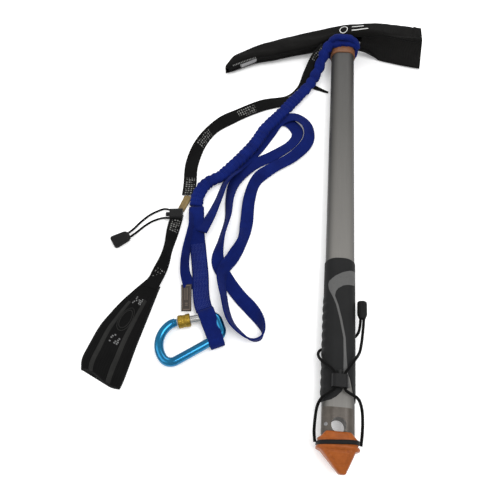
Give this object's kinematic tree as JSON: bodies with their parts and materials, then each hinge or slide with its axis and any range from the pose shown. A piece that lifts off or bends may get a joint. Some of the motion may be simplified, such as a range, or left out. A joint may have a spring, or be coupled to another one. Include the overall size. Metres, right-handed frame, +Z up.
{
  "type": "ice axe",
  "caption": "Walking ice axe lying on its side, with a fabric head cover, rubber spike cap, elastic tether with screw-gate carabiner, and wrist leash.",
  "frame": {"origin": "middle of the axe's length and width, on the surface it lies on", "axes": "+X towards the adze, +Y along the shaft towards the head, +Z up from the surface"},
  "size_m": [0.3724, 0.5811, 0.0487],
  "materials": {
    "tube": "satin anodised",
    "ring": "satin orange",
    "steel": "brushed",
    "grip": "matt",
    "inlay": "matt",
    "ferrule": "brushed, warm grey",
    "cover": "woven nylon",
    "zip": "moulded teeth",
    "cap": "matt orange",
    "cap_band": "matt",
    "cord": "braided",
    "lock": "moulded",
    "button": "moulded",
    "spring": "drawn wire",
    "pull": "ribbed, moulded",
    "tether": "woven nylon webbing",
    "tag": "woven label",
    "anodised": "bright anodised",
    "gate": "polished",
    "sleeve": "gold anodised",
    "leash": "woven nylon webbing",
    "keeper": "tan",
    "cuff": "padded webbing"
  },
  "bodies": {
    "axe": {"shaft": "tube", "collar_ring": "ring", "head": "steel", "head_pin": "steel", "grip": "grip", "grip_inlay": "inlay", "ferrule": "ferrule", "spike_pin": "steel", "tether_hitch": "tether", "tether_elastic": "tether", "tether_left": "tether", "tether_sewn": "tether", "tether_eye": "tether", "sling_upper": "tether", "sling_lower": "tether", "label_tag": "tag", "carabiner": "anodised", "bar_ends": "anodised", "gate_pin": "steel", "wrist_webbing": "leash", "webbing_tail": "leash", "wrist_keeper": "keeper", "wrist_lock": "lock", "wrist_spring": "spring", "wrist_cord_a": "cord", "wrist_cord_b": "cord", "wrist_pull": "pull", "wrist_strap": "leash", "wrist_cuff": "cuff"},
    "cover": {"cover_shell": "cover", "cover_zip": "zip"},
    "cap": {"spike_cap": "cap", "cap_band": "cap_band", "cap_cord_left": "cord", "cap_cord_right": "cord", "cap_lock": "lock", "cap_spring": "spring", "cap_pull": "pull"},
    "cap_button": {"cap_plunger": "button"},
    "wrist_button": {"wrist_plunger": "lock"},
    "gate_arm": {"gate": "gate", "gate_spring": "spring"},
    "sleeve": {"screw_sleeve": "sleeve"}
  },
  "joints": [
    {"name": "cover_slide", "type": "slide", "parent": "axe", "child": "cover", "axis": [0, 1, 0.0041], "range_m": [0, 0.1]},
    {"name": "cap_slide", "type": "slide", "parent": "axe", "child": "cap", "axis": [0, -1, -0.0041], "range_m": [0, 0.045]},
    {"name": "cap_lock_press", "type": "slide", "parent": "cap", "child": "cap_button", "axis": [0, -1, -0.0041], "range_m": [0, 0.003], "stiffness_N_per_m": 600, "springref_m": -0.003, "deforming": ["cap_spring"]},
    {"name": "wrist_lock_press", "type": "slide", "parent": "axe", "child": "wrist_button", "axis": [0.9925, 0.1219, 0], "range_m": [0, 0.003], "stiffness_N_per_m": 600, "springref_m": -0.003, "deforming": ["wrist_spring"]},
    {"name": "gate_hinge", "type": "hinge", "parent": "axe", "child": "gate_arm", "pos_m": [-0.11452, -0.15401, 0.007], "axis": [0, 0, 1], "range_deg": [0, 25], "stiffness_Nm_per_rad": 0.12, "springref_deg": -20.05},
    {"name": "sleeve_screw", "type": "slide", "parent": "gate_arm", "child": "sleeve", "axis": [-0.9563, -0.2924, 0], "range_m": [0, 0.003]}
  ]
}
